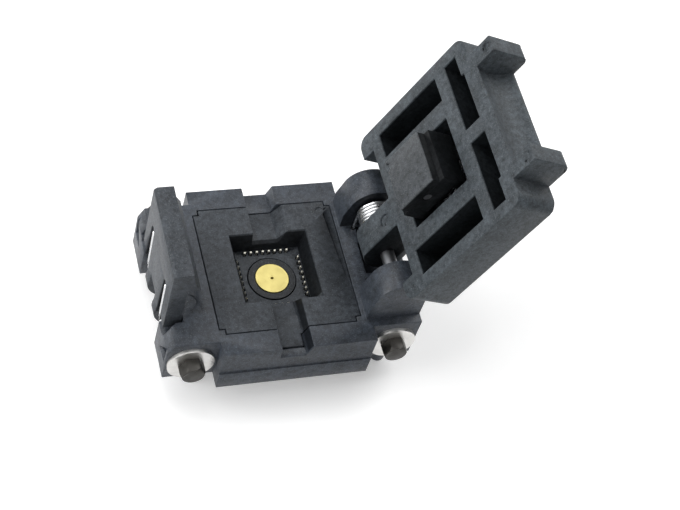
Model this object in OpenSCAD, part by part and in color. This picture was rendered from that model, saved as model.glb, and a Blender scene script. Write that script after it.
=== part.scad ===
// Clamshell test socket for a square leadless package, with its lid standing open.
// The origin is the centre of the contact field on the circuit board's surface.
// +X points to the lid's hinge, -X to the latch, +Z up. Millimetres throughout.

/* [Package and contacts] */
// Side of the square package that the socket takes
package_side = 7; // [6.5:0.25:8]
// Distance between neighbouring contacts
contact_pitch = 0.65; // [0.5:0.05:0.7]
// Contacts on each side of the package
contacts_per_side = 8; // [4:1:8]
// Distance from a package edge in to the contact tips
tip_inset = 0.18; // [0.1:0.02:0.3]
// Thickness of the sheet that the contacts are stamped from
contact_thickness = 0.2; // [0.15:0.01:0.24]
// Width of the stamped contact strip
contact_width = 0.2; // [0.16:0.02:0.28]
// Radius of the spring bow in each contact
contact_bow_r = 0.7; // [0.6:0.05:0.8]
// Length of the contact tails below the board's surface
tail_length = 2.6; // [1.6:0.2:2.8]

/* [Heights] */
// Height of the contact tips above the board
tip_height = 3.8; // [3.7:0.05:4]
// Height of the base's top face
deck_height = 5.9; // [5.7:0.1:6.4]
// Height of the ledge under the nest plate
ledge_height = 2.35; // [2.3:0.05:2.5]
// Thickness of the lead guide at the bottom
guide_thickness = 0.8; // [0.6:0.05:0.9]

/* [Nest plate] */
// Lead-in on each side of the package pocket
pocket_flare = 0.7; // [0.5:0.05:0.9]
// Plate beside the pocket, along X
nest_rim_x = 3.2; // [2.9:0.1:3.6]
// Plate beside the pocket, along Y
nest_rim_y = 3.3; // [3:0.1:3.7]
// How far the plate can be pushed down
nest_travel = 0.3; // [0.2:0.05:0.35]
// Width of the finger groove's floor
groove_width = 2.8; // [2.4:0.1:3.4]
// Depth of the finger groove
groove_depth = 1.4; // [1:0.1:1.6]
// Slope of the groove's right-hand wall
groove_slope = 0.5; // [0.2:0.1:0.8]

/* [Ground contact] */
// Diameter of the gold ground contact
ground_disc_d = 3.5; // [3:0.1:3.8]
// Diameter of the collar around the ground contact
collar_d = 5; // [4.6:0.1:5.2]
// How far the ground contact can be pushed down
ground_travel = 0.25; // [0.15:0.05:0.3]

/* [Base] */
// Wall outside the nest plate on the latch side
latch_side_wall = 0.1; // [0.1:0.05:0.3]
// Wall outside the nest plate on the hinge side
hinge_side_wall = 1; // [0.8:0.1:1.4]
// Wall in front of the nest plate and behind it
flange_depth = 2.4; // [2:0.1:3]
// Length of each narrower end of the base
end_length = 5.25; // [5:0.05:5.6]
// How far the narrower ends are set back in Y
end_setback = 1.6; // [1.2:0.1:2]
// Height of the low plinth at the front and back
plinth_height = 2.5; // [1.5:0.1:3]
// How far the plinth stands out
plinth_step = 0.2; // [0.1:0.05:0.4]
// Diameter of the locating pegs
peg_d = 1.6; // [1:0.1:1.8]
// Length of the locating pegs
peg_length = 3; // [2.9:0.1:3.6]

/* [Hinge] */
// Radius of the rounded hinge ears
ear_r = 2.7; // [2.6:0.05:2.9]
// Width of each ear along Y
ear_width = 3.2; // [2.8:0.1:3.4]
// Gap between the two ears
ear_gap = 8.4; // [8:0.1:8.8]
// Diameter of the hinge pin
hinge_pin_d = 1.5; // [1.2:0.05:1.6]
// Angle between the closed lid and the open lid
open_angle = 112.7; // [95:0.1:118]

/* [Lid] */
// Gap between the closed lid and the base
lid_gap = 0.3; // [0.2:0.05:0.5]
// Thickness of the lid
lid_thickness = 4.7; // [4.5:0.1:5.2]
// Width of the knuckle that the hinge pin runs through
knuckle_width = 3.2; // [2.8:0.1:3.6]
// Radius of the lid's knuckle
knuckle_r = 2.5; // [2.4:0.05:2.6]
// Depth of the pockets moulded into the lid
pocket_depth = 3.6; // [2.5:0.1:3.8]
// Width of the two lift lugs along Y
lug_width = 1.8; // [1.4:0.1:2]
// Corner radius of the lid
lid_corner_r = 1.2; // [0.6:0.1:1.6]

/* [Pusher] */
// Length of the pressure pad along X
pad_x = 5.2; // [4.6:0.1:5.6]
// Length of the pressure pad along Y
pad_y = 5.86; // [5.2:0.02:6]
// How far the pad can be pushed up into the lid
pusher_travel = 1.1; // [0.8:0.05:1.15]
// Diameter of the pin that the pad tilts on
pad_pin_d = 0.9; // [0.7:0.05:1.1]

/* [Latch] */
// Thickness of the latch plate
latch_thickness = 1.75; // [1.5:0.05:1.9]
// Overlap of the latch nose on the closed lid
nose_overlap = 0.95; // [0.6:0.05:1.1]
// Height of the latch nose
nose_height = 2.75; // [2.2:0.05:3.2]
// Gap between the latch and whatever stands beside it
latch_side_gap = 0.3; // [0.2:0.05:0.4]
// Radius of the spring coils around the latch bolt
latch_coil_r = 2; // [1.9:0.05:2.1]
// Diameter of the latch spring wire
latch_wire_d = 0.36; // [0.3:0.02:0.4]

/* [End bolts] */
// Diameter of the bolts through the two ends
bolt_d = 1.7; // [1.4:0.1:1.9]
// Height of the bolts above the board
bolt_height = 2.7; // [2.65:0.05:2.8]
// Outer diameter of the washers
washer_d = 4.85; // [4.6:0.05:5.2]
// Thickness of the washers
washer_thickness = 0.4; // [0.3:0.05:0.6]
// Width across the flats of the bolt heads and nuts
hex_flats = 2.3; // [2.2:0.1:3]
// Height of the bolt heads
head_height = 1.4; // [1:0.1:1.8]

/* [Hidden] */
$fn = 64;

black = [0.09, 0.1, 0.12];
dark_steel = [0.14, 0.14, 0.15];
steel = [0.78, 0.79, 0.8];
gold = [0.93, 0.78, 0.36];

fit = 0.05;                    // radial clearance of a running fit
slack = 0.12;                  // clearance around the floating nest plate
cut = 1;                       // how far a cutting shape runs past the face it opens

// nest plate
nest_x = package_side / 2 + pocket_flare + nest_rim_x;
nest_y = package_side / 2 + pocket_flare + nest_rim_y;
nest_notch = 0.6;              // square notch at each corner of the plate
nest_bottom = ledge_height + nest_travel + fit;
pocket_straight = tip_height + 0.35;
hook_reach = 0.35;             // snap hooks that stop the plate from rising out
hook_height = 0.6;
hook_width = 3;

// base
block_x0 = -nest_x - slack - latch_side_wall;
block_x1 = nest_x + slack + hinge_side_wall;
base_x0 = block_x0 - end_length;
base_x1 = block_x1 + end_length;
block_y = nest_y + slack + flange_depth;
end_y = block_y - end_setback;
washer_r = washer_d / 2;
washer_inset = 0.25;           // gap between a washer and the side of the block
latch_bolt_x = block_x0 - washer_inset - washer_r;
rear_bolt_x = block_x1 + washer_inset + washer_r;
bolt_r = bolt_d / 2;
groove_x0 = -1.55;
groove_x1 = groove_x0 + groove_width;
groove_floor = deck_height - groove_depth;

// contacts
row_r = package_side / 2 - tip_inset;
tail_near = row_r + 0.55;
tail_far = tail_near + 1.27;
tail_width = 0.3;

// housing under the plate
housing_x = tail_far + 0.75;
guide_x = housing_x + 1.5;
guide_z = 0.1;
shank_r = 0.45;                // ground pin's shank in the lead guide, above its thinner tail
tongue_y = -block_y + 1.1;     // front end of the nest plate's tongue
tongue_thickness = 1;
guide_top = guide_z + guide_thickness;
foot_height = guide_top + 0.3; // contact feet lie this far above the lead guide
bow_height = foot_height + contact_bow_r;
// top of the hollow over the bows, and the plate's floor above it
relief_top = bow_height + contact_bow_r + contact_width + nest_travel;
nest_floor = relief_top + 0.25;
housing_bottom = guide_top + fit;
screw_r = 0.4;
screw_head_r = 0.7;
screw_x = housing_x + screw_r + 0.2;
spring_corner = nest_y - 0.85;
ground_top = tip_height - 0.3;
collar_top = tip_height - 0.38;

// lid, drawn closed and then swung open about the hinge pin
lid_under = deck_height + lid_gap;
lid_top = lid_under + lid_thickness;
hinge_x = base_x1 - ear_r;
hinge_z = lid_under + knuckle_r;
ear_inner = ear_gap / 2;
ear_outer = ear_inner + ear_width;
pin_r = hinge_pin_d / 2;
pin_y0 = -ear_outer + 0.8;     // the front ear is closed over the pin's end
hinge_coil_r = 1.7;            // mean radius of the lid spring's coils
lid_y = block_y;
latch_out = base_x0 + 0.1;
latch_in = latch_out + latch_thickness;
lid_x0 = latch_in + latch_side_gap;
lid_shoulder = lid_x0 + 0.85;
rim_to_hinge = 4.9;             // from the hinge pin to the lid's rim between the ears
wing_length = 1.7;              // how far the lid's sides reach past that rim
lid_x1 = hinge_x - rim_to_hinge;
lid_wing_x1 = lid_x1 + wing_length;
lug_outer = lid_y - 2.55;
lug_inner = lug_outer - lug_width;
lug_tip = base_x0 - 0.15;
end_hollow = 0.9;              // depth of the hollow in the lid's free end
end_hollow_r = 3.5;
latch_y = lug_inner - latch_side_gap;
spring_y = 3.2;                // place of the two latch springs along Y
latch_lobe_r = 2.6;            // outer radius of the latch's lobes round its bolt
coil_slot = 0.8;              // half the width of the slot that each spring sits in
barrel_y = spring_y + coil_slot;
shoulder_z = deck_height - 1.2; // underside of the latch's wide part
deck_gap = 0.15;               // between the latch and the edge of the deck
deck_mark_x = 1.1;             // place of the round moulding mark beside the latch
deck_mark_y = 3.4;
hollow_z0 = 2.2;               // bottom and top of the three-cornered hollows in the end faces
hollow_z1 = 4.9;
side_pocket_out = 1.4;         // the lid's side pockets run from here to side_pocket_in
side_pocket_in = 4.25;
cavity_x = latch_bolt_x + latch_coil_r + 0.35;

// pusher
pad_bottom = tip_height - 0.2;
pad_top = lid_under + 0.5;
pad_rim = pad_top + 0.8;       // top of the pad's rim round the collar
pad_flange = pad_x / 2 + 0.65;
pad_pin_z = pad_bottom + 1.5;
collar_z = pad_top + 0.3;
window_x0 = -pad_flange - 1.3;
window_x1 = pad_flange + 0.45;
window_y = pad_y / 2 + 0.85;
roof_z = lid_top - 1;
pocket_x = 4.8;
stem_r = 1.1;

// ------------------------------------------------------------------ helpers

function unit(v) = v / norm(v);
function ring(r, z, n) = [for (i = [0:n - 1]) [r * cos(360 * i / n), r * sin(360 * i / n), z]];

// Round wire along a path. ref is a direction that the path never runs along.
module wire(path, r, ref, sides = 8) {
    last = len(path) - 1;
    points = [for (i = [0:last])
        let (t = unit(path[min(i + 1, last)] - path[max(i - 1, 0)]),
             n = unit(ref - (ref * t) * t),
             b = cross(t, n))
        for (s = [0:sides - 1]) path[i] + r * (cos(360 * s / sides) * n + sin(360 * s / sides) * b)];
    side_faces = [for (i = [0:last - 1]) for (s = [0:sides - 1])
        let (a = i * sides + s, c = i * sides + (s + 1) % sides)
        each [[a, a + sides, c], [c, a + sides, c + sides]]];
    start_cap = [[for (s = [0:sides - 1]) s]];
    end_cap = [[for (s = [sides - 1:-1:0]) last * sides + s]];
    polyhedron(points, concat(start_cap, side_faces, end_cap), convexity = 6);
}

// Compression spring standing on z0 around the Z axis
module compression_spring(coil_r, wire_r, z0, z1, turns, steps = 14, sides = 6) {
    total = turns * steps;
    path = [for (i = [0:total])
        [coil_r * cos(360 * i / steps), coil_r * sin(360 * i / steps),
         z0 + wire_r + (z1 - z0 - 2 * wire_r) * i / total]];
    wire(path, wire_r, [0, 0, 1], sides);
}

// Cylinder along Y from y0 to y1
module y_rod(x, z, r, y0, y1) {
    translate([x, y1, z]) rotate([90, 0, 0]) cylinder(r = r, h = y1 - y0);
}

// Extrudes a profile drawn in X and Z along Y from y0 to y1
module y_prism(y0, y1) {
    translate([0, y1, 0]) rotate([90, 0, 0]) linear_extrude(y1 - y0) children();
}

module box(x0, x1, y0, y1, z0, z1) {
    translate([x0, y0, z0]) cube([x1 - x0, y1 - y0, z1 - z0]);
}

module mirrored_y() {
    children();
    mirror([0, 1, 0]) children();
}

// Rectangle with rounded corners at its -X end and at its +X end
module rounded_rect(x0, x1, y, r0, r1) {
    difference() {
        translate([x0, -y]) square([x1 - x0, 2 * y]);
        for (s = [-1, 1]) {
            corner_cut(x0, s * y, 1, -s, r0);
            corner_cut(x1, s * y, -1, -s, r1);
        }
    }
}

// What a rounding of radius r takes off a corner at (x, y); sx and sy point into the shape
module corner_cut(x, y, sx, sy, r) {
    if (r > 0) translate([x, y]) scale([sx, sy]) difference() {
        translate([-cut, -cut]) square(r + cut);
        translate([r, r]) circle(r);
    }
}

// Turns a closed lid to its open place
module lid_open() {
    translate([hinge_x, 0, hinge_z]) rotate([0, open_angle, 0]) translate([-hinge_x, 0, -hinge_z])
        children();
}

// ------------------------------------------------------------------ nest plate

module nest_outline(grow = 0) {
    difference() {
        square([2 * (nest_x + grow), 2 * (nest_y + grow)], center = true);
        for (sx = [-1, 1]) for (sy = [-1, 1])
            translate([sx * (nest_x + grow), sy * (nest_y + grow)]) square(2 * nest_notch, center = true);
    }
}

// Finger groove that runs across the socket, with one upright wall and one sloping wall
module groove_cut(y0, y1, slope) {
    y_prism(y0, y1) polygon([
        [groove_x0, groove_floor], [groove_x1, groove_floor],
        [groove_x1 + slope, deck_height], [groove_x1 + slope, deck_height + cut],
        [groove_x0, deck_height + cut]]);
}

// Package pocket: upright at the contacts and flared above them
module pocket_cut() {
    wall = package_side / 2 + 0.08;
    mouth = package_side / 2 + pocket_flare;
    intersection() {
        y_prism(-mouth, mouth) pocket_profile(wall, mouth);
        rotate([0, 0, 90]) y_prism(-mouth, mouth) pocket_profile(wall, mouth);
    }
}

module pocket_profile(wall, mouth) {
    polygon([
        [-wall, nest_floor], [wall, nest_floor], [wall, pocket_straight],
        [mouth, deck_height], [mouth, deck_height + cut],
        [-mouth, deck_height + cut], [-mouth, deck_height], [-wall, pocket_straight]]);
}

module nest_plate() color(black) {
    slot_half = contact_pitch * contacts_per_side / 2;
    tip_slot = contact_thickness / 2 + 0.08;
    difference() {
        union() {
            translate([0, 0, nest_bottom]) linear_extrude(deck_height - nest_bottom) nest_outline();
            for (s = [-1, 1]) scale([s, 1, 1])
                box(nest_x - cut, nest_x + hook_reach, -hook_width / 2, hook_width / 2,
                    nest_bottom, nest_bottom + hook_height);
            box(groove_x0 + slack, groove_x1 - slack, tongue_y, -nest_y + cut,
                groove_floor - tongue_thickness, groove_floor);
        }
        pocket_cut();
        groove_cut(0, nest_y + cut, 2 * groove_slope);
        groove_cut(-nest_y - cut, 0, groove_slope);
        translate([0, 0, nest_bottom - cut]) cylinder(d = collar_d + 2 * slack, h = tip_height);
        // lower ledge in the groove beside the pocket's front
        box(groove_x0, groove_x1, -package_side / 2 - pocket_flare - 1.1, -package_side / 2,
            groove_floor - 0.25, deck_height);
        for (turn = [0:90:270]) rotate([0, 0, turn])
            union() {
                for (i = [0:contacts_per_side - 1])
                    box(row_r - 0.25, row_r + 0.24, contact_y(i) - tip_slot, contact_y(i) + tip_slot,
                        nest_bottom - cut, tip_height);
                box(row_r - 0.25, row_r + contact_bow_r + 0.25, -slot_half, slot_half,
                    nest_bottom - cut, relief_top);
            }
        for (sx = [-1, 1]) for (sy = [-1, 1])
            translate([sx * (nest_x - 0.8), sy * spring_corner, nest_bottom - cut])
                cylinder(r = 0.65, h = cut + 1.2);
        translate([nest_x - 1.2, nest_y - 1.1, deck_height - 0.1]) cylinder(r = 0.45, h = cut);
    }
}

module nest_springs() color(steel) {
    for (sx = [-1, 1]) for (sy = [-1, 1])
        translate([sx * (nest_x - 0.8), sy * spring_corner, 0])
            compression_spring(0.42, 0.09, 1.35, nest_bottom + 1.15, 6, 10, 5);
}

// ------------------------------------------------------------------ contacts and their housing

// A stamped contact in its own plane: pointed tip, spring bow, foot and tail
module contact_profile(tail_r) {
    half = contact_width / 2;
    polygon([[-half, bow_height + contact_bow_r - half], [half, bow_height + contact_bow_r - half],
             [half, tip_height - 0.12], [0, tip_height], [-half, tip_height - 0.12]]
            + [for (i = [0:4]) [row_r, 0]]);
    translate([row_r, bow_height]) intersection() {
        difference() {
            circle(contact_bow_r + half);
            circle(contact_bow_r - half);
        }
        translate([-0.02, -2 * contact_bow_r]) square(4 * contact_bow_r);
    }
    translate([row_r - half, foot_height - half]) square([tail_r - row_r + half, contact_width]);
    translate([tail_r - tail_width / 2, -tail_length])
        square([tail_width, tail_length + foot_height + half]);
}

function contact_y(i) = (i - (contacts_per_side - 1) / 2) * contact_pitch;
function tail_of(i) = i % 2 == 0 ? tail_near : tail_far;

// The contacts of one side, drawn for the +X side and turned round to their own
module contact_row(turn) color(gold) rotate([0, 0, turn])
    for (i = [0:contacts_per_side - 1])
        y_prism(contact_y(i) - contact_thickness / 2, contact_y(i) + contact_thickness / 2)
            contact_profile(tail_of(i));

module contacts_hinge_side() { contact_row(0); }
module contacts_back() { contact_row(90); }
module contacts_latch_side() { contact_row(180); }
module contacts_front() { contact_row(270); }

module contact_housing() color(black) {
    slot = contact_thickness / 2 + fit;
    difference() {
        union() {
            box(-housing_x, housing_x, -housing_x, housing_x, housing_bottom, ledge_height - fit);
            translate([0, 0, ledge_height - cut]) cylinder(d = collar_d, h = collar_top - ledge_height + cut);
        }
        for (turn = [0:90:270]) rotate([0, 0, turn]) for (i = [0:contacts_per_side - 1]) {
            box(row_r - 0.25, tail_of(i) + tail_width / 2 + fit, contact_y(i) - slot, contact_y(i) + slot,
                foot_height - contact_width / 2 - fit, ledge_height);
            box(tail_of(i) - tail_width / 2 - fit, tail_of(i) + tail_width / 2 + fit,
                contact_y(i) - slot, contact_y(i) + slot, 0, ledge_height);
        }
        translate([0, 0, ground_top - 0.5 - ground_travel - fit]) cylinder(d = ground_disc_d + 4 * fit, h = 2);
        translate([0, 0, 1.5]) cylinder(r = 1.15, h = 2);
        translate([0, 0, 0]) cylinder(r = 0.95, h = 2);
    }
}

module lead_guide() color(black) {
    hole = tail_width / 2 + fit;
    difference() {
        box(-guide_x, guide_x, -guide_x, guide_x, guide_z, guide_top);
        for (turn = [0:90:270]) rotate([0, 0, turn]) {
            for (i = [0:contacts_per_side - 1])
                translate([tail_of(i), contact_y(i), 0]) cube([2 * hole, 2 * hole, 4], center = true);
            translate([screw_x, 0, -cut]) cylinder(r = screw_r + fit, h = 3);
            translate([screw_x, 0, -cut]) cylinder(r = screw_head_r + fit, h = cut + 0.55);
        }
        translate([0, 0, -cut]) cylinder(r = shank_r + fit, h = 3);
    }
}

module guide_screws() color(dark_steel) {
    for (turn = [0:90:270]) rotate([0, 0, turn]) translate([screw_x, 0, 0]) difference() {
        union() {
            translate([0, 0, 0.1]) cylinder(r = screw_head_r, h = 0.4);
            translate([0, 0, 0.1]) cylinder(r = screw_r, h = ledge_height - 0.35);
        }
        translate([0, 0, 0]) cylinder(r = 0.3, h = 0.3, $fn = 6);
    }
}

module ground_contact() color(gold) difference() {
    union() {
        translate([0, 0, ground_top - 0.5]) cylinder(d = ground_disc_d, h = 0.5);
        translate([0, 0, 1.35]) cylinder(r = 0.5, h = ground_top - 1.6);
    }
    translate([0, 0, ground_top - 0.4]) cylinder(r = 0.17, h = cut);
}

module ground_spring() color(steel)
    compression_spring(0.82, 0.1, 1.52, ground_top - 0.52, 4, 12, 5);

module ground_pin() color(gold) difference() {
    union() {
        translate([0, 0, housing_bottom]) cylinder(r = 0.9, h = 1.5 - housing_bottom - 0.02);
        cylinder(r = shank_r, h = housing_bottom + 0.02);
        translate([0, 0, -tail_length]) cylinder(r = 0.25, h = tail_length + 0.02);
    }
    translate([0, 0, housing_bottom + 0.12]) cylinder(r = 0.5 + fit, h = cut);
}

// ------------------------------------------------------------------ base

module base_outline() {
    translate([block_x0, -block_y]) square([block_x1 - block_x0, 2 * block_y]);
    translate([base_x0, -end_y]) square([base_x1 - base_x0, 2 * end_y]);
}

// Hinge ear seen along Y: upright at the deck, then sloping in to the round top
module ear_profile() {
    shoulder = deck_height + 1.7;
    foot = hinge_x - ear_r - 0.45;
    union() {
        translate([hinge_x, hinge_z]) circle(ear_r);
        polygon([[foot, deck_height - cut], [base_x1, deck_height - cut], [base_x1, hinge_z],
                 [hinge_x - ear_r * cos(25), hinge_z + ear_r * sin(25)], [foot, shoulder]]);
    }
}

module base_body() color(black) {
    difference() {
        union() {
            linear_extrude(deck_height) base_outline();
            linear_extrude(plinth_height) translate([block_x0, -block_y - plinth_step])
                square([block_x1 - block_x0, 2 * (block_y + plinth_step)]);
            mirrored_y() y_prism(ear_inner, ear_outer) ear_profile();
            for (x = [latch_bolt_x + 1.2, rear_bolt_x]) for (y = [-end_y + 1.5, end_y - 1.5])
                translate([x, y, -peg_length]) {
                    translate([0, 0, 0.3]) cylinder(d = peg_d, h = peg_length);
                    cylinder(d1 = peg_d - 0.5, d2 = peg_d, h = 0.3);
                }
        }
        // nest plate, housing and lead guide
        translate([0, 0, ledge_height]) linear_extrude(deck_height) nest_outline(slack);
        for (s = [-1, 1]) scale([s, 1, 1])
            box(0, nest_x + hook_reach + 0.1, -hook_width / 2 - 0.2, hook_width / 2 + 0.2,
                ledge_height, nest_bottom + hook_height + fit);
        box(-housing_x - fit, housing_x + fit, -housing_x - fit, housing_x + fit, -cut, deck_height);
        box(-guide_x - fit, guide_x + fit, -guide_x - fit, guide_x + fit, -cut, guide_top + fit);
        for (turn = [0:90:270]) rotate([0, 0, turn])
            translate([screw_x, 0, 0]) cylinder(r = screw_r, h = ledge_height - 0.2);
        for (sx = [-1, 1]) for (sy = [-1, 1])
            translate([sx * (nest_x - 0.8), sy * spring_corner, 1.3]) cylinder(r = 0.65, h = 2);
        // finger groove across the front and the back
        groove_cut(0, block_y + cut, groove_slope);
        groove_cut(-block_y - cut, 0, groove_slope);
        box(groove_x0, groove_x1, -block_y - cut, tongue_y - slack, groove_floor - 0.2, deck_height);
        // room for the nest plate's tongue
        box(groove_x0, groove_x1, tongue_y - slack, -nest_y + cut,
            groove_floor - tongue_thickness - nest_travel - 0.1, deck_height);
        // latch: open slot above, room for its barrel and coils below
        y_prism(-latch_y - latch_side_gap, latch_y + latch_side_gap) polygon([
            [base_x0 - cut, shoulder_z - 0.85], [latch_in + deck_gap, shoulder_z - 0.35],
            [latch_in + deck_gap, deck_height + cut], [base_x0 - cut, deck_height + cut]]);
        box(base_x0 - cut, latch_in + deck_gap, -barrel_y - 0.2, barrel_y + 0.2, -cut, deck_height + cut);
        box(base_x0 - cut, cavity_x, -barrel_y - 0.2, barrel_y + 0.2, -cut,
            bolt_height + latch_coil_r + 0.35);
        // ears beside the latch: scooped inner corners and chamfered ends
        mirrored_y() translate([0, 0, shoulder_z - latch_side_gap]) linear_extrude(3) polygon([
            [base_x0 - cut, latch_y], [base_x0 - cut, latch_y + 0.7], [latch_in - 1.3, latch_y + 0.85],
            [latch_in - 0.2, latch_y]]);
        y_prism(-block_y, block_y) polygon([[base_x0 - cut, deck_height - 1.4],
            [base_x0, deck_height - 1.4], [base_x0 + 0.6, deck_height],
            [base_x0 + 0.6, deck_height + cut], [base_x0 - cut, deck_height + cut]]);
        // end bolts, hinge pin and the legs of the springs
        y_rod(latch_bolt_x, bolt_height, bolt_r + fit, -block_y, block_y);
        y_rod(rear_bolt_x, bolt_height, bolt_r + fit, -block_y, block_y);
        y_rod(hinge_x, hinge_z, pin_r + fit, pin_y0 - fit, block_y);
        translate([hinge_x - hinge_coil_r, ear_inner - 0.35, deck_height - 1]) cylinder(r = 0.28, h = 2 * cut);
        // room for the lid's knuckle
        box(hinge_x - 1.75, hinge_x + 1.75, -knuckle_width / 2 - 0.35, knuckle_width / 2 + 0.35,
            deck_height - 1, deck_height + cut);
        // moulding marks on the deck and three-cornered hollows in the end faces
        translate([latch_in + deck_mark_x, -deck_mark_y, deck_height - 0.1]) cylinder(r = 0.85, h = cut);
        mirrored_y() translate([base_x0 - cut, 0, 0]) rotate([90, 0, 90]) linear_extrude(cut + 0.5)
            polygon([[latch_y + 0.6, hollow_z0], [end_y - 0.5, hollow_z1], [end_y - 0.5, hollow_z0 + 0.1]]);
    }
}

module hinge_pin() color(dark_steel)
    y_rod(hinge_x, hinge_z, pin_r, pin_y0, ear_outer - 0.15);

// Sleeve that keeps the torsion spring's coils centred on the hinge pin
module spring_sleeve() color(black) difference() {
    y_rod(hinge_x, hinge_z, hinge_coil_r - 0.4, knuckle_width / 2 + fit, ear_inner - fit);
    y_rod(hinge_x, hinge_z, pin_r + fit, 0, ear_outer);
}

// Torsion spring on the hinge pin. One leg drops into the base, the other runs into the lid.
module lid_spring() color(steel) {
    coil_r = hinge_coil_r;
    wire_r = 0.17;
    y_start = knuckle_width / 2 + 0.3;
    y_end = ear_inner - 0.35;
    first = 270 - open_angle;
    last = 180 + 360 * 5;
    steps = 96;
    leg = [cos(first - 90), sin(first - 90)];
    lid_reach = hinge_x - lid_x1 + 0.6;
    start = [hinge_x + coil_r * cos(first), y_start, hinge_z + coil_r * sin(first)];
    coil = [for (i = [0:steps])
        let (a = first + (last - first) * i / steps)
        [hinge_x + coil_r * cos(a), y_start + (y_end - y_start) * i / steps, hinge_z + coil_r * sin(a)]];
    lid_leg = [for (t = [1, 0.5]) start + lid_reach * t * [leg[0], 0, leg[1]]];
    base_leg = [[hinge_x - coil_r, y_end, hinge_z - 1], [hinge_x - coil_r, y_end, deck_height - 0.9]];
    wire(concat(lid_leg, coil, base_leg), wire_r, [0, 1, 0]);
}

// ------------------------------------------------------------------ end bolts

module hex_y(x, z, y0, y1) {
    translate([x, y1, z]) rotate([90, 0, 0]) cylinder(d = hex_flats / cos(30), h = y1 - y0, $fn = 6);
}

module end_bolt(x) {
    face = end_y + washer_thickness;
    y_rod(x, bolt_height, bolt_r, -face - 0.02, face + head_height + 0.25);
    intersection() {
        hex_y(x, bolt_height, -face - head_height, -face);
        translate([x, -face, bolt_height]) rotate([90, 0, 0])
            cylinder(d1 = hex_flats * 1.6, d2 = hex_flats * 0.98, h = head_height);
    }
}

module latch_bolt() { color(dark_steel) end_bolt(latch_bolt_x); }
module rear_bolt() { color(dark_steel) end_bolt(rear_bolt_x); }

module end_washers() color(steel) {
    for (x = [latch_bolt_x, rear_bolt_x]) mirrored_y() difference() {
        y_rod(x, bolt_height, washer_r, end_y, end_y + washer_thickness);
        y_rod(x, bolt_height, bolt_r + fit, 0, end_y + cut);
    }
}

module end_nuts() color(dark_steel) {
    face = end_y + washer_thickness;
    for (x = [latch_bolt_x, rear_bolt_x]) difference() {
        hex_y(x, bolt_height, face, face + head_height);
        y_rod(x, bolt_height, bolt_r, 0, face + 2 * head_height);
    }
}

// ------------------------------------------------------------------ lid

module lid_plan() {
    rounded_rect(lid_shoulder, lid_x1, lid_y, lid_corner_r, 0);
    translate([lid_x0, -lug_outer]) square([lid_shoulder - lid_x0 + cut, 2 * lug_outer]);
    difference() {
        rounded_rect(lid_x1 - cut, lid_wing_x1, lid_y, 0, lid_corner_r);
        translate([lid_x1, -ear_outer - latch_side_gap])
            square([2 * cut + lid_wing_x1 - lid_x1, 2 * (ear_outer + latch_side_gap)]);
    }
}

// Lift lug seen along Y, rounded at its upper outer corner
module lug_profile() {
    r = 0.8;
    difference() {
        translate([lug_tip, lid_under]) square([lid_x0 - lug_tip + cut, lid_thickness]);
        corner_cut(lug_tip, lid_top, 1, -1, r);
    }
}

// The knuckle joins the lid's full thickness to a round end on the hinge pin
module knuckle_profile() {
    intersection() {
        union() {
            translate([hinge_x, hinge_z]) circle(knuckle_r);
            translate([lid_x1 - cut, lid_under]) square([hinge_x - lid_x1 + cut, lid_thickness]);
        }
        translate([lid_x1 - 2 * cut, lid_under - cut]) square([20, lid_thickness + cut]);
    }
}

module lid_pockets() {
    deep = pocket_depth + cut;
    // long pocket along each side
    mirrored_y() box(-pocket_x, pocket_x, lid_y - side_pocket_in, lid_y - side_pocket_out, -cut, deep - cut);
    // two stepped pockets at the free end, either side of a rib
    mirrored_y() {
        box(lid_shoulder + 1.7, -pocket_x - 1.6, 0.8, lid_y - 1.35, -cut, deep - cut);
        box(lid_shoulder + 1.3, lid_shoulder + 1.8, 0.8, lug_outer - 1.2, -cut, deep - cut);
    }
}

module lid_frame() color(black) lid_open() difference() {
    union() {
        translate([0, 0, lid_under]) linear_extrude(lid_thickness) lid_plan();
        mirrored_y() y_prism(lug_inner, lug_outer) lug_profile();
        y_prism(-knuckle_width / 2, knuckle_width / 2) knuckle_profile();
        box(lid_x1 - cut, lid_x1 + 1.5, -ear_inner + 0.2, ear_inner - 0.2, lid_top - 1.3, lid_top);
    }
    translate([0, 0, lid_under]) lid_pockets();
    // window for the pusher, and the bore and clip seat of its stem
    box(window_x0, window_x1, -window_y, window_y, lid_under - cut, roof_z);
    cylinder(r = stem_r + fit, h = lid_top + cut);
    translate([0, 0, lid_top - 0.6]) cylinder(r = 2.2, h = 2 * cut);
    // hollow end wall between the lugs
    y_rod(lid_x0 - end_hollow_r + end_hollow, lid_under + 2, end_hollow_r, -lug_inner, lug_inner);
    y_rod(hinge_x, hinge_z, pin_r + fit, -block_y, block_y);
    // hole for the lid spring's leg
    translate([lid_x1 - 0.9, knuckle_width / 2 + 0.3, hinge_z - hinge_coil_r]) rotate([0, 90, 0])
        cylinder(r = 0.28, h = 2 * cut);
    // moulding marks
    translate([hinge_x - 3.4, -0.15, lid_under - cut]) cylinder(r = 0.65, h = cut + 0.3);
    mirrored_y() translate([lug_tip + 0.75, lug_inner + 1, lid_under - cut]) cylinder(r = 0.55, h = cut + 0.1);
}

// ------------------------------------------------------------------ pusher

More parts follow.
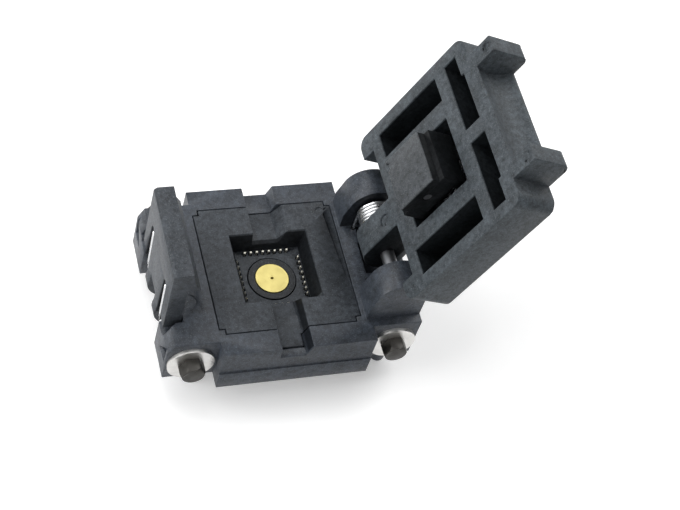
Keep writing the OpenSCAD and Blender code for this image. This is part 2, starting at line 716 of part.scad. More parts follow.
module pusher_pad() color(black) lid_open() difference() {
    union() {
        box(-pad_x / 2, pad_x / 2, -pad_y / 2, pad_y / 2, pad_bottom, pad_top);
        box(-pad_flange, pad_flange, -pad_y / 2, pad_y / 2, pad_bottom + 1, pad_rim);
    }
    // cup round the stem's collar, open at both ends
    translate([0, 0, pad_top]) cylinder(r = 2.7, h = pad_rim);
    box(-2, 2, -pad_y, pad_y, pad_top, pad_rim + cut);
    box(-1.55, 1.55, -1.55, 1.55, pad_bottom + 0.65, pad_top + cut);
    y_rod(0, pad_pin_z, pad_pin_d / 2, -pad_y, pad_y);
    box(pad_x / 2 - 0.35, pad_x / 2 + cut, 1.8, 2.7, pad_bottom - cut, pad_bottom + 1);
}

module pad_pin() color(steel) lid_open()
    y_rod(0, pad_pin_z, pad_pin_d / 2, -pad_y / 2 + 0.1, pad_y / 2 - 0.1);

module pusher_stem() color(dark_steel) lid_open() difference() {
    union() {
        box(-1, 1, -1.45, 1.45, pad_bottom + 0.8, collar_z + 0.1);
        translate([0, 0, collar_z]) cylinder(r = 2.5, h = 0.5);
        translate([0, 0, collar_z]) cylinder(r = stem_r, h = lid_top - 0.1 - collar_z);
    }
    y_rod(0, pad_pin_z, pad_pin_d / 2 + fit, -pad_y, pad_y);
    difference() {
        translate([0, 0, lid_top - 0.58]) cylinder(r = 2, h = 0.36);
        translate([0, 0, lid_top - 1]) cylinder(r = 0.8, h = 2);
    }
}

module stem_clip() color(steel) lid_open() translate([0, 0, lid_top - 0.56]) linear_extrude(0.32) difference() {
    circle(1.9);
    circle(0.82);
    translate([0, -0.7]) square([3, 1.4]);
}

module pusher_spring() color(steel) lid_open()
    compression_spring(2, 0.15, collar_z + 0.52, roof_z - 0.02, 4, 18, 6);

// ------------------------------------------------------------------ latch

module latch_profile() {
    nose_z = lid_top + 0.07;
    nose_top = nose_z + nose_height;
    nose_tip = lid_x0 + nose_overlap;
    bevel = 0.3;
    polygon([
        [latch_out, bolt_height - 0.6], [latch_out, nose_top - bevel], [latch_out + bevel, nose_top],
        [latch_in + 0.25, nose_top], [latch_in + 0.62, nose_top - 0.6 * nose_height],
        [nose_tip, nose_z + 0.15], [nose_tip, nose_z], [latch_in, nose_z],
        [latch_in, bolt_height - 0.6]]);
}

// Tapered groove for a spring leg, and the slot that its coil sits in
module latch_spring_cut(y) {
    slot = coil_slot;
    groove_depth_x = 0.75;
    groove_top = lid_top - 1;
    translate([latch_out + groove_depth_x, 0, 0]) rotate([0, -90, 0]) linear_extrude(groove_depth_x + cut)
        polygon([[-cut, y - slot], [bolt_height, y - slot], [groove_top - 0.4, y - 0.5], [groove_top, y],
                 [groove_top - 0.4, y + 0.5], [bolt_height, y + slot], [-cut, y + slot]]);
    difference() {
        y_rod(latch_bolt_x, bolt_height, latch_coil_r + 0.7, y - slot, y + slot);
        y_rod(latch_bolt_x, bolt_height, latch_coil_r - 0.5, y - slot - cut, y + slot + cut);
    }
}

module latch() color(black) difference() {
    union() {
        y_prism(-latch_y, latch_y) latch_profile();
        y_rod(latch_bolt_x, bolt_height, latch_coil_r + 0.1, -barrel_y, barrel_y);
        y_prism(-barrel_y, barrel_y) intersection() {
            translate([latch_bolt_x, bolt_height]) circle(latch_lobe_r);
            translate([base_x0 - 1, 0]) square([latch_in - base_x0 + 1, deck_height]);
        }
    }
    mirrored_y() box(base_x0 - 1, 0, barrel_y, block_y, -cut, shoulder_z);
    for (s = [-1, 1]) latch_spring_cut(s * spring_y);
    y_rod(latch_bolt_x, bolt_height, bolt_r + fit, -block_y, block_y);
    // opening between the two halves of the barrel
    box(base_x0 - cut, 0, -1.1, 1.1, -cut, bolt_height + 1.9);
}

// Torsion spring on the latch bolt: one leg in the latch's groove, the other against the base
module latch_spring(y) {
    wire_r = latch_wire_d / 2;
    width = 1.06;
    first = 180;
    last = -90 - 360 * 2;
    steps = 72;
    leg_x = latch_out + 0.75 - wire_r - 0.03;
    leg_top = lid_top - 1.9;
    coil_x = latch_bolt_x - latch_coil_r;
    back_x = cavity_x - 0.03;
    coil = [for (i = [0:steps])
        let (a = first - (first - last) * (1 - i / steps))
        [latch_bolt_x + latch_coil_r * cos(a), y + width * (i / steps - 0.5),
         bolt_height + latch_coil_r * sin(a)]];
    front_leg = [for (t = [0.3, 1]) [coil_x + (leg_x - coil_x) * t, y + width * (0.5 - 0.4 * t),
                                     bolt_height + (leg_top - bolt_height) * t]];
    back_leg = [[back_x, y - width / 2, bolt_height - latch_coil_r]];
    wire(concat(back_leg, coil, front_leg), wire_r, [0, 1, 0]);
}

module latch_springs() color(steel) {
    for (s = [-1, 1]) latch_spring(s * spring_y);
}

// ------------------------------------------------------------------ nodes

base_body();
nest_plate();
nest_springs();
contact_housing();
lead_guide();
contacts_front();
contacts_back();
contacts_latch_side();
contacts_hinge_side();
ground_contact();
ground_spring();
ground_pin();
guide_screws();
hinge_pin();
spring_sleeve();
lid_spring();
lid_frame();
pusher_pad();
pad_pin();
pusher_stem();
stem_clip();
pusher_spring();
latch();
latch_springs();
latch_bolt();
rear_bolt();
end_washers();
end_nuts();
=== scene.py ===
import math

import bmesh
import bpy
import numpy as np
from mathutils import Matrix, Vector


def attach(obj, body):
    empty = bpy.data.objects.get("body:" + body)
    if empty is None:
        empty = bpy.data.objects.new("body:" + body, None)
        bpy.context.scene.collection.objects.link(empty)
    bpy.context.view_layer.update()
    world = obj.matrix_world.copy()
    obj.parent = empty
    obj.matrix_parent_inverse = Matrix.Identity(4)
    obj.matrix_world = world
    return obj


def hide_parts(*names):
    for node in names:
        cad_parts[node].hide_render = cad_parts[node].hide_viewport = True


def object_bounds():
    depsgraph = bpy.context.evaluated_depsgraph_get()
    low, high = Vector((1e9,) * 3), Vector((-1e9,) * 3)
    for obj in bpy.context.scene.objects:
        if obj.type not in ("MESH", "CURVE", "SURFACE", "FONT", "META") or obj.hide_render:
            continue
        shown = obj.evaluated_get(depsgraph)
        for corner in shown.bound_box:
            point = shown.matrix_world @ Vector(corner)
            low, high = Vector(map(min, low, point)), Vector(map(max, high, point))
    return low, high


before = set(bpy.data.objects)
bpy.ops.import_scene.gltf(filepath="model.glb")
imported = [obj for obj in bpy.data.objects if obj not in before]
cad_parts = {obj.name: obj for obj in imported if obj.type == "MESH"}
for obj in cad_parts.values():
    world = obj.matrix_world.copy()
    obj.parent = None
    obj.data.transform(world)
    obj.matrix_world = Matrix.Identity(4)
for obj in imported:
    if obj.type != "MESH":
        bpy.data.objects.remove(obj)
cad_low, cad_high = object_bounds()
MM = 0.001

# ---------------------------------------------------------------- sizes, in millimetres

HINGE = (11.07, 0, 8.7)     # a point on the lid's axis
OPEN_ANGLE = 112.7          # degrees by which the lid stands open in the model
DECK_Z = 5.9                # the base's top face
LID_UNDER_Z = 6.2           # the shut lid's underside
KNUCKLE_HALF = 1.6          # half the width of the lid's knuckle
EAR_HALF = 4.2              # half the gap between the hinge ears
LATCH_OUT_X = -12.77        # the latch's outer face
LATCH_BOLT = (-10.295, 2.7)     # x and z of the bolt that the latch turns on
SPRING_Y = 3.2              # the two latch springs stand this far each side of the middle

# ---------------------------------------------------------------- shader groups

def new_group(name, inputs, outputs):
    """An empty shader node group with named sockets."""
    tree = bpy.data.node_groups.new(name, "ShaderNodeTree")
    kinds = {"value": "NodeSocketFloat", "colour": "NodeSocketColor", "vector": "NodeSocketVector"}
    for label, kind, start in inputs:
        socket = tree.interface.new_socket(label, in_out="INPUT", socket_type=kinds[kind])
        socket.default_value = start
    for label, kind in outputs:
        tree.interface.new_socket(label, in_out="OUTPUT", socket_type=kinds[kind])
    return tree, tree.nodes.new("NodeGroupInput"), tree.nodes.new("NodeGroupOutput")


def add(tree, kind, **settings):
    """A new shader node with the given settings."""
    node = tree.nodes.new(kind)
    for key, value in settings.items():
        setattr(node, key, value)
    return node


def noise(tree, scale, detail=3.0, rough=0.55):
    """Noise on Object coordinates, with scale in features per metre."""
    where = add(tree, "ShaderNodeTexCoord")
    n = add(tree, "ShaderNodeTexNoise")
    n.inputs["Scale"].default_value = scale
    n.inputs["Detail"].default_value = detail
    n.inputs["Roughness"].default_value = rough
    tree.links.new(where.outputs["Object"], n.inputs["Vector"])
    return n


def ramp(tree, source, low, high, to_low=0.0, to_high=1.0):
    """to_low where source is low or less, to_high where it is high or more, and even between."""
    m = add(tree, "ShaderNodeMapRange", clamp=True)
    for label, value in (("From Min", low), ("From Max", high),
                         ("To Min", to_low), ("To Max", to_high)):
        m.inputs[label].default_value = value
    tree.links.new(source, m.inputs["Value"])
    return m.outputs["Result"]


def arithmetic(tree, how, a, b):
    """One math node on two values, each of them a number or another node's output."""
    m = add(tree, "ShaderNodeMath", operation=how)
    for i, v in enumerate((a, b)):
        if isinstance(v, (int, float)):
            m.inputs[i].default_value = v
        else:
            tree.links.new(v, m.inputs[i])
    return m.outputs[0]


def blend_colours(tree, factor, a, b):
    """Colour a where factor is 0 and colour b where it is 1."""
    m = add(tree, "ShaderNodeMix", data_type="RGBA")
    tree.links.new(factor, m.inputs["Factor"])
    for socket, v in ((m.inputs[6], a), (m.inputs[7], b)):
        if isinstance(v, tuple):
            socket.default_value = v
        else:
            tree.links.new(v, socket)
    return m.outputs[2]


def glass_fibre_group():
    """Glass-filled plastic: pale flecks of fibre, cloudy flow marks and a grained surface."""
    tree, enter, leave = new_group(
        "glass_fibre_plastic",
        [("Tone", "colour", (0.05, 0.06, 0.07, 1)), ("Fleck", "colour", (0.3, 0.33, 0.36, 1)),
         ("Fleck amount", "value", 0.5), ("Roughness", "value", 0.5), ("Grain", "value", 0.4)],
        [("Colour", "colour"), ("Roughness", "value"), ("Normal", "vector")])
    cloud = noise(tree, 420, 4)
    mottle = noise(tree, 1900, 4, 0.7)
    fine = noise(tree, 5200, 2, 0.7)
    fleck = noise(tree, 8000, 2, 0.6)
    flecks = arithmetic(tree, "MULTIPLY", ramp(tree, fleck.outputs["Fac"], 0.56, 0.74),
                        enter.outputs["Fleck amount"])
    patches = ramp(tree, cloud.outputs["Fac"], 0.3, 0.7, 0.72, 1.25)
    mottling = ramp(tree, mottle.outputs["Fac"], 0.3, 0.72, 0.45, 1.75)
    tone = arithmetic(tree, "MULTIPLY", patches, mottling)
    shade = add(tree, "ShaderNodeVectorMath", operation="SCALE")
    tree.links.new(enter.outputs["Tone"], shade.inputs[0])
    tree.links.new(tone, shade.inputs["Scale"])
    colour = blend_colours(tree, flecks, shade.outputs[0], enter.outputs["Fleck"])
    tree.links.new(colour, leave.inputs["Colour"])
    spread = ramp(tree, fine.outputs["Fac"], 0.3, 0.7, -0.07, 0.1)
    rough = arithmetic(tree, "ADD", enter.outputs["Roughness"], spread)
    tree.links.new(rough, leave.inputs["Roughness"])
    bump = add(tree, "ShaderNodeBump")
    bump.inputs["Distance"].default_value = 0.03 * MM
    tree.links.new(enter.outputs["Grain"], bump.inputs["Strength"])
    height = arithmetic(tree, "ADD", fine.outputs["Fac"], mottle.outputs["Fac"])
    tree.links.new(height, bump.inputs["Height"])
    tree.links.new(bump.outputs["Normal"], leave.inputs["Normal"])
    return tree


def turned_metal_group():
    """Bare or plated metal: faint drawn lines, small stains and a slight unevenness."""
    tree, enter, leave = new_group(
        "turned_metal",
        [("Tone", "colour", (0.7, 0.7, 0.7, 1)), ("Stain", "colour", (0.3, 0.3, 0.3, 1)),
         ("Stain amount", "value", 0.3), ("Roughness", "value", 0.3), ("Lines", "value", 0.3)],
        [("Colour", "colour"), ("Roughness", "value"), ("Normal", "vector")])
    cloud = noise(tree, 900, 5)
    fine = noise(tree, 14000, 2)
    stains = arithmetic(tree, "MULTIPLY", ramp(tree, cloud.outputs["Fac"], 0.45, 0.7),
                        enter.outputs["Stain amount"])
    colour = blend_colours(tree, stains, enter.outputs["Tone"], enter.outputs["Stain"])
    tree.links.new(colour, leave.inputs["Colour"])
    spread = ramp(tree, cloud.outputs["Fac"], 0.3, 0.75, -0.06, 0.14)
    rough = arithmetic(tree, "ADD", enter.outputs["Roughness"], spread)
    tree.links.new(rough, leave.inputs["Roughness"])
    bump = add(tree, "ShaderNodeBump")
    bump.inputs["Distance"].default_value = 0.008 * MM
    tree.links.new(enter.outputs["Lines"], bump.inputs["Strength"])
    tree.links.new(fine.outputs["Fac"], bump.inputs["Height"])
    tree.links.new(bump.outputs["Normal"], leave.inputs["Normal"])
    return tree


def inside_box_group():
    """1 inside an axis-parallel box and 0 outside it, with a soft step 0.1 mm wide."""
    tree, enter, leave = new_group(
        "inside_box",
        [(label, "vector", (0, 0, 0)) for label in ("Point", "Low", "High")],
        [("Mask", "value")])

    def vector_math(how, a, b):
        m = add(tree, "ShaderNodeVectorMath", operation=how)
        tree.links.new(a, m.inputs[0])
        tree.links.new(b, m.inputs[1])
        return m.outputs[0]

    point, low, high = (enter.outputs[label] for label in ("Point", "Low", "High"))
    above, below = vector_math("SUBTRACT", point, low), vector_math("SUBTRACT", high, point)
    margins = vector_math("MINIMUM", above, below)
    parts = add(tree, "ShaderNodeSeparateXYZ")
    tree.links.new(margins, parts.inputs[0])
    x, y, z = parts.outputs
    depth = arithmetic(tree, "MINIMUM", arithmetic(tree, "MINIMUM", x, y), z)
    tree.links.new(ramp(tree, depth, 0.0, 0.1 * MM), leave.inputs["Mask"])
    return tree


PLASTIC = glass_fibre_group()
METAL = turned_metal_group()
INSIDE_BOX = inside_box_group()


# ---------------------------------------------------------------- materials

def finish_material(name, group, values, metallic=0.0, specular=0.5):
    """A Principled material fed by one of the groups above."""
    mat = bpy.data.materials.new(name)
    mat.use_nodes = True
    tree = mat.node_tree
    shader = tree.nodes["Principled BSDF"]
    g = add(tree, "ShaderNodeGroup", node_tree=group)
    for label, value in values.items():
        g.inputs[label].default_value = value
    tree.links.new(g.outputs["Colour"], shader.inputs["Base Color"])
    tree.links.new(g.outputs["Roughness"], shader.inputs["Roughness"])
    tree.links.new(g.outputs["Normal"], shader.inputs["Normal"])
    shader.inputs["Metallic"].default_value = metallic
    shader.inputs["Specular IOR Level"].default_value = specular
    return mat


def plastic(name, tone, amount=0.22, rough=0.5, specular=0.25):
    """Black moulded plastic; amount is how strongly its pale fibre flecks show."""
    values = {"Tone": tone, "Fleck": (0.32, 0.36, 0.38, 1), "Fleck amount": amount,
              "Roughness": rough, "Grain": 0.35}
    return finish_material(name, PLASTIC, values, specular=specular)


def metal(name, tone, stain, amount=0.3, rough=0.25, lines=0.3):
    """Metal with stains of a second colour; lines is the strength of its drawn lines."""
    values = {"Tone": tone, "Stain": stain, "Stain amount": amount,
              "Roughness": rough, "Lines": lines}
    return finish_material(name, METAL, values, metallic=1.0)


# share of the flecks that stays under the painted shade in the hollows
FLECKS_LEFT = 0.05


def paint_hollow_shade(mat, boxes, of_lid=False, left=0.3):
    """Paints shade into a plastic in its hollows: darker tone, fewer flecks and less shine inside
    boxes whose low and high corners are in millimetres.

    `left` is the share of tone and shine that stays, and FLECKS_LEFT that of the flecks. With
    of_lid the boxes are given for the shut lid, so the point is first turned back about the hinge.
    """
    tree = mat.node_tree
    shader = tree.nodes["Principled BSDF"]
    finish = shader.inputs["Base Color"].links[0].from_node
    point = add(tree, "ShaderNodeTexCoord").outputs["Object"]
    if of_lid:
        turn = add(tree, "ShaderNodeVectorRotate", rotation_type="Y_AXIS")
        turn.inputs["Center"].default_value = Vector(HINGE) * MM
        turn.inputs["Angle"].default_value = math.radians(-OPEN_ANGLE)
        tree.links.new(point, turn.inputs["Vector"])
        point = turn.outputs[0]
    mask = 0.0
    for low, high in boxes:
        box = add(tree, "ShaderNodeGroup", node_tree=INSIDE_BOX)
        box.inputs["Low"].default_value = Vector(low) * MM
        box.inputs["High"].default_value = Vector(high) * MM
        tree.links.new(point, box.inputs["Point"])
        mask = arithmetic(tree, "MAXIMUM", box.outputs["Mask"], mask)
    tone = tuple(finish.inputs["Tone"].default_value)
    dark = tuple(left * v for v in tone[:3]) + (1,)
    tree.links.new(blend_colours(tree, mask, tone, dark), finish.inputs["Tone"])
    flecks = finish.inputs["Fleck amount"]
    amount = flecks.default_value
    tree.links.new(ramp(tree, mask, 0, 1, amount, FLECKS_LEFT * amount), flecks)
    shine = shader.inputs["Specular IOR Level"]
    full = shine.default_value
    tree.links.new(ramp(tree, mask, 0, 1, full, left * full), shine)


base_plastic = plastic("base_plastic", (0.031, 0.037, 0.047, 1), rough=0.42, specular=0.32)
nest_plastic = plastic("nest_plastic", (0.034, 0.039, 0.046, 1))
lid_plastic = plastic("lid_plastic", (0.042, 0.05, 0.057, 1))
latch_plastic = plastic("latch_plastic", (0.034, 0.039, 0.046, 1))
pad_plastic = plastic("pad_plastic", (0.042, 0.047, 0.052, 1), rough=0.42)
inner_plastic = plastic("inner_plastic", (0.02, 0.022, 0.025, 1), amount=0.2)

# A box of painted shade reaches SKIN past a flat face that it darkens, and stops short of the faces
# that stay pale, such as the deck and the lid's underside.
SKIN = 0.12
SLOT_HALF, SLOT_DEPTH = 0.95, 0.9   # half the width, and the depth, of the latch slots' boxes

# painted shade in the lid's pockets above its underside, and on the front of its knuckle
paint_hollow_shade(lid_plastic, (
    ((-9.5, -9.6, LID_UNDER_Z + SKIN), (5.9, 9.6, 10)),
    ((6.4, -KNUCKLE_HALF - SKIN, LID_UNDER_Z + SKIN), (14, -KNUCKLE_HALF + SKIN, 10.2)),
), of_lid=True, left=0.2)
# painted shade on all of the pad but its pressing face
paint_hollow_shade(pad_plastic, (((-4, -4, 3.7), (4, 4, 9)),), of_lid=True, left=0.2)
# painted shade in the plate's pocket, and on the sloping wall of its groove
paint_hollow_shade(nest_plastic, (
    ((-4.25, -3.6, 3.5), (4.25, 4.25, DECK_Z - 0.15)),
    ((1.3, -7.7, 4.5), (2.1, -3.6, DECK_Z - 0.05))))
# painted shade in the two slots that hold the latch springs
paint_hollow_shade(latch_plastic, [
    ((LATCH_OUT_X, y - SLOT_HALF, 3), (LATCH_OUT_X + SLOT_DEPTH, y + SLOT_HALF, 10))
    for y in (-SPRING_Y, SPRING_Y)])
# painted shade in the bay between the hinge ears, on the far ear's inner side, and on the sloping
# wall of the groove
paint_hollow_shade(base_plastic, (
    ((7.9, -EAR_HALF - 0.1, 3), (13.6, EAR_HALF + 0.1, DECK_Z - 0.15)),
    ((7.9, EAR_HALF - SKIN, 5.7), (14, EAR_HALF + SKIN, 12)),
    ((1.3, -9.9, 4.5), (2.3, -7.5, DECK_Z - 0.05))))

spring_steel = metal("spring_steel", (0.7, 0.71, 0.72, 1), (0.35, 0.35, 0.35, 1),
                     amount=0.05, rough=0.24, lines=0.02)
washer_steel = metal("washer_steel", (0.7, 0.69, 0.67, 1), (0.45, 0.44, 0.42, 1), rough=0.3)
bolt_steel = metal("bolt_steel", (0.05, 0.048, 0.045, 1), (0.02, 0.02, 0.018, 1), rough=0.42)
gold_plate = metal("gold_plate", (0.5, 0.43, 0.165, 1), (0.4, 0.33, 0.12, 1),
                   amount=0.15, rough=0.45)
contact_plate = metal("contact_plate", (0.92, 0.9, 0.8, 1), (0.7, 0.64, 0.5, 1),
                      amount=0.1, rough=0.36)
pin_steel = metal("pin_steel", (0.16, 0.165, 0.175, 1), (0.08, 0.08, 0.08, 1), rough=0.45)

FINISHES = {
    "base_body": base_plastic, "nest_plate": nest_plastic, "contact_housing": inner_plastic,
    "lead_guide": inner_plastic, "spring_sleeve": inner_plastic, "lid_frame": lid_plastic,
    "pusher_pad": pad_plastic, "latch": latch_plastic, "nest_springs": spring_steel,
    "ground_spring": spring_steel, "hinge_pin": pin_steel, "lid_spring": spring_steel,
    "pad_pin": pin_steel, "stem_clip": spring_steel, "pusher_spring": spring_steel,
    "latch_springs": spring_steel, "end_washers": washer_steel, "guide_screws": bolt_steel,
    "pusher_stem": bolt_steel, "latch_bolt": bolt_steel, "rear_bolt": bolt_steel,
    "end_nuts": bolt_steel, "ground_contact": gold_plate, "ground_pin": gold_plate,
    "contacts_front": contact_plate, "contacts_back": contact_plate,
    "contacts_latch_side": contact_plate, "contacts_hinge_side": contact_plate,
}
for node, finish in FINISHES.items():
    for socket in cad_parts[node].material_slots:
        socket.material = finish

# ---------------------------------------------------------------- rounded moulded edges

def new_object(name, data):
    """An object for a mesh, a camera or a lamp, put into the scene."""
    made = bpy.data.objects.new(name, data)
    bpy.context.scene.collection.objects.link(made)
    return made


SHARP_ANGLE = 30            # degrees between two faces, from which their edge is rounded
MERGE_REACH = 2e-6          # metres within which two corners become one


def rounded_copy(node, body, radius):
    """A merged copy of a CAD node whose sharp edges get a small moulded radius, in millimetres."""
    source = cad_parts[node]
    mesh = bpy.data.meshes.new(node + "_rounded")
    bm = bmesh.new()
    bm.from_mesh(source.data)
    bmesh.ops.remove_doubles(bm, verts=bm.verts, dist=MERGE_REACH)
    bm.to_mesh(mesh)
    bm.free()
    piece = new_object(node + "_rounded", mesh)
    mesh.materials.append(FINISHES[node])
    bevel = piece.modifiers.new("moulded_radius", "BEVEL")
    bevel.width = radius * MM
    bevel.segments = 2
    bevel.limit_method = "ANGLE"
    bevel.angle_limit = math.radians(SHARP_ANGLE)
    bevel.use_clamp_overlap = False
    bevel.harden_normals = True
    mesh.shade_smooth()
    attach(piece, body)
    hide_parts(node)


ROUNDED = (("base_body", "base", 0.06), ("nest_plate", "nest", 0.03), ("lid_frame", "lid", 0.08),
           ("latch", "latch_arm", 0.08), ("pusher_pad", "pad", 0.05),
           ("latch_bolt", "base", 0.05), ("rear_bolt", "base", 0.05))
for node, body, radius in ROUNDED:
    rounded_copy(node, body, radius)

# ---------------------------------------------------------------- sprung wires

WIRE_SIDES = 14             # corners round a wire


def round_wire(name, path, radius, node, body):
    """A tube round a path of points, in millimetres.

    ring(i, k) = path[i] + radius (cos(2 pi k / WIRE_SIDES) n_i + sin(2 pi k / WIRE_SIDES) b_i),
    where t_i is the path's direction, n_i is the part of +y across it, and b_i = t_i x n_i.
    """
    path = np.asarray(path, float)
    ahead = np.vstack([path[1:], path[-1:]])
    behind = np.vstack([path[:1], path[:-1]])
    t = ahead - behind
    t /= np.linalg.norm(t, axis=1)[:, None]
    n = np.array([0.0, 1.0, 0.0]) - t[:, 1:2] * t
    n /= np.linalg.norm(n, axis=1)[:, None]
    b = np.cross(t, n)
    turn = np.linspace(0, 2 * np.pi, WIRE_SIDES, endpoint=False)[None, :, None]
    rings = path[:, None] + radius * (np.cos(turn) * n[:, None] + np.sin(turn) * b[:, None])
    last = (len(path) - 1) * WIRE_SIDES
    faces = [(i + k, i + (k + 1) % WIRE_SIDES,
              i + WIRE_SIDES + (k + 1) % WIRE_SIDES, i + WIRE_SIDES + k)
             for i in range(0, last, WIRE_SIDES) for k in range(WIRE_SIDES)]
    faces += [tuple(range(WIRE_SIDES))[::-1], tuple(range(last, last + WIRE_SIDES))]
    mesh = bpy.data.meshes.new(name)
    mesh.from_pydata((rings.reshape(-1, 3) * MM).tolist(), [], faces)
    mesh.materials.append(FINISHES[node])
    mesh.shade_smooth()
    piece = new_object(name, mesh)
    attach(piece, body)
    return piece


LID_COIL_R, LID_WIRE_R, LID_TURNS = 1.7, 0.17, 5
COIL_START, COIL_END = KNUCKLE_HALF + 0.3, EAR_HALF - 0.35     # the coil's two ends along y
LID_LEG = 5.5               # length of the leg that reaches into the lid
BASE_LEG_DEPTH = 0.9        # how far the other leg reaches below the deck


def lid_spring_path():
    """The lid spring: a leg into the lid, a coil round the hinge, and a leg into the base.

    At angle a the coil is at hinge + LID_COIL_R (cos a, sin a) in the xz plane; a runs from 270
    degrees less the lid's opening to 180 degrees, LID_TURNS turns on, while y goes evenly from
    COIL_START to COIL_END.
    """
    a = np.radians(np.linspace(270 - OPEN_ANGLE, 180 + 360 * LID_TURNS, 260))
    y = np.linspace(COIL_START, COIL_END, len(a))
    coil = np.stack([HINGE[0] + LID_COIL_R * np.cos(a), y, HINGE[2] + LID_COIL_R * np.sin(a)], 1)
    along = np.array([np.sin(a[0]), 0, -np.cos(a[0])])
    lid_leg = [coil[0] + reach * along for reach in np.linspace(LID_LEG, 0.3, 12)]
    base_leg = [(HINGE[0] - LID_COIL_R, COIL_END, z)
                for z in np.linspace(HINGE[2] - 0.5, DECK_Z - BASE_LEG_DEPTH, 8)]
    return np.vstack([lid_leg, coil, base_leg])


LATCH_COIL_R, LATCH_WIRE_R, LATCH_COIL_WIDTH = 2, 0.18, 1.06
LATCH_BACK_LEG = 2.32       # how far the back leg reaches past the bolt's axis
LATCH_TIP_Z = 9             # top of the front leg
LATCH_TIP_INSET = 0.24      # of the front leg's tip from the latch's outer face


def latch_spring_path(y):
    """A latch spring at y: a back leg, 2.75 turns round the bolt, and a front leg up the slot.

    At angle a the coil is at bolt + LATCH_COIL_R (cos a, sin a) in the xz plane, while y goes
    evenly across LATCH_COIL_WIDTH.
    """
    x, z = LATCH_BOLT
    a = np.radians(np.linspace(-90 - 360 * 2, 180, 170))
    side = np.linspace(-0.5, 0.5, len(a)) * LATCH_COIL_WIDTH
    coil = np.stack([x + LATCH_COIL_R * np.cos(a), y + side, z + LATCH_COIL_R * np.sin(a)], 1)
    foot = coil[-1]
    tip = np.array([LATCH_OUT_X + LATCH_TIP_INSET, y + 0.1 * LATCH_COIL_WIDTH, LATCH_TIP_Z])
    front_leg = [foot + (tip - foot) * t for t in np.linspace(0.1, 1, 12)]
    back_leg = [(back, y - LATCH_COIL_WIDTH / 2, z - LATCH_COIL_R)
                for back in np.linspace(x + LATCH_BACK_LEG, x + 0.2, 8)]
    return np.vstack([back_leg, coil, front_leg])


def spring_in_two(name, path, radius, node, first_body, last_body, join, overlap):
    """A coil spring that follows both its bodies.

    path[:join + overlap] rides on the first body and path[join:] on the last. Both lie on one
    helix, so the coil stays whole while the bodies turn by less than the overlap.
    """
    for end, part, body in (("start", path[:join + overlap], first_body),
                            ("end", path[join:], last_body)):
        piece = round_wire(f"{name}_{end}", part, radius, node, body)
        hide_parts(node)


spring_in_two("lid_spring", lid_spring_path(), LID_WIRE_R, "lid_spring", "lid", "base",
              join=84, overlap=18)
for name, y in (("near", -SPRING_Y), ("far", SPRING_Y)):
    spring_in_two("latch_spring_" + name, latch_spring_path(y), LATCH_WIRE_R, "latch_springs",
                  "base", "latch_arm", join=138, overlap=10)

# ---------------------------------------------------------------- camera, floor and lights

EYE = Vector((-45.34, -87.19, 142.96)) * MM
AZIMUTH, ELEVATION, ROLL = 59.154, 53.282, 20.570   # degrees: from +x to +y, down, and clockwise
LENS, SENSOR_WIDTH = 86.56, 36
FLOOR_HALF = 0.6            # metres from the middle to each side
FLOOR_GLOW = 0.31           # emission strength of the floor, for camera and glossy rays
LIT_POINT = Vector((0, 0, 5)) * MM
WORLD_LIGHT = 0.06          # strength of the world for all but camera and glossy rays


def camera_axes():
    """Right, up and backward: a level view along the azimuth and elevation, then rolled."""
    a, e, r = (math.radians(v) for v in (AZIMUTH, ELEVATION, ROLL))
    forward = Vector((math.cos(e) * math.cos(a), math.cos(e) * math.sin(a), -math.sin(e)))
    level = forward.cross(Vector((0, 0, 1))).normalized()
    upright = level.cross(forward)
    right = level * math.cos(r) + upright * math.sin(r)
    return right, right.cross(forward), -forward


camera_data = bpy.data.cameras.new("camera")
camera_data.lens = LENS
camera_data.sensor_width = SENSOR_WIDTH
camera_data.clip_start = 0.01
camera = new_object("camera", camera_data)
camera.matrix_world = Matrix.Translation(EYE) @ Matrix(camera_axes()).transposed().to_4x4()
bpy.context.scene.camera = camera


def seen_or_reflected(tree):
    """1 for camera and glossy rays, so that polished metal reflects the pale surroundings."""
    rays = add(tree, "ShaderNodeLightPath")
    return arithmetic(tree, "MAXIMUM", rays.outputs["Is Camera Ray"], rays.outputs["Is Glossy Ray"])


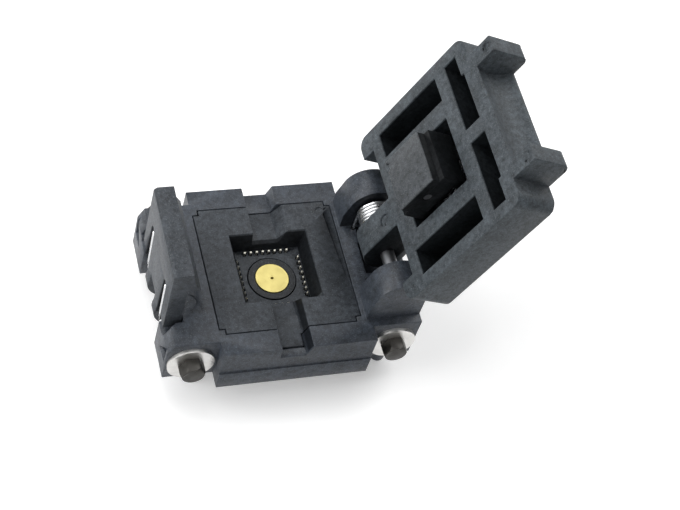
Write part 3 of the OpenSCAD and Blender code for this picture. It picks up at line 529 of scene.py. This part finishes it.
def pale_floor():
    """A large plane just under the pegs. Lit, it looks white, so that only the shadow shows."""
    z = cad_low[2] - 0.01 * MM
    mesh = bpy.data.meshes.new("floor")
    corners = [(x * FLOOR_HALF, y * FLOOR_HALF, z) for x, y in ((-1, -1), (1, -1), (1, 1), (-1, 1))]
    mesh.from_pydata(corners, [], [(0, 1, 2, 3)])
    floor = new_object("floor", mesh)
    mat = bpy.data.materials.new("pale_floor")
    mat.use_nodes = True
    shader = mat.node_tree.nodes["Principled BSDF"]
    shader.inputs["Base Color"].default_value = (0.93, 0.93, 0.93, 1)
    shader.inputs["Roughness"].default_value = 0.9
    lift = arithmetic(mat.node_tree, "MULTIPLY", seen_or_reflected(mat.node_tree), FLOOR_GLOW)
    mat.node_tree.links.new(lift, shader.inputs["Emission Strength"])
    shader.inputs["Emission Color"].default_value = (1, 1, 1, 1)
    mesh.materials.append(mat)


def soft_light(name, place, size, watts):
    """A square area lamp aimed at LIT_POINT; its place and size are in millimetres."""
    data = bpy.data.lights.new(name, "AREA")
    data.size = size * MM
    data.energy = watts
    lamp = new_object(name, data)
    where = Vector(place) * MM
    aim = (LIT_POINT - where).to_track_quat("-Z", "Y").to_matrix().to_4x4()
    lamp.matrix_world = Matrix.Translation(where) @ aim


def white_world(strength):
    """White for camera and glossy rays, and an even soft light for everything else."""
    world = bpy.data.worlds.new("world")
    bpy.context.scene.world = world
    world.use_nodes = True
    tree = world.node_tree
    back = tree.nodes["Background"]
    m = add(tree, "ShaderNodeMapRange")
    m.inputs["To Min"].default_value = strength
    m.inputs["To Max"].default_value = 1.0
    tree.links.new(seen_or_reflected(tree), m.inputs["Value"])
    back.inputs["Color"].default_value = (1, 1, 1, 1)
    tree.links.new(m.outputs["Result"], back.inputs["Strength"])


pale_floor()
white_world(WORLD_LIGHT)
soft_light("key", (-65, 90, 195), 150, 0.21)
soft_light("left", (-190, 0, 125), 150, 0.36)
soft_light("right", (130, 60, 170), 150, 0.26)
soft_light("front", (-60, -190, 90), 130, 0.1)

bpy.context.scene.view_settings.view_transform = "Standard"
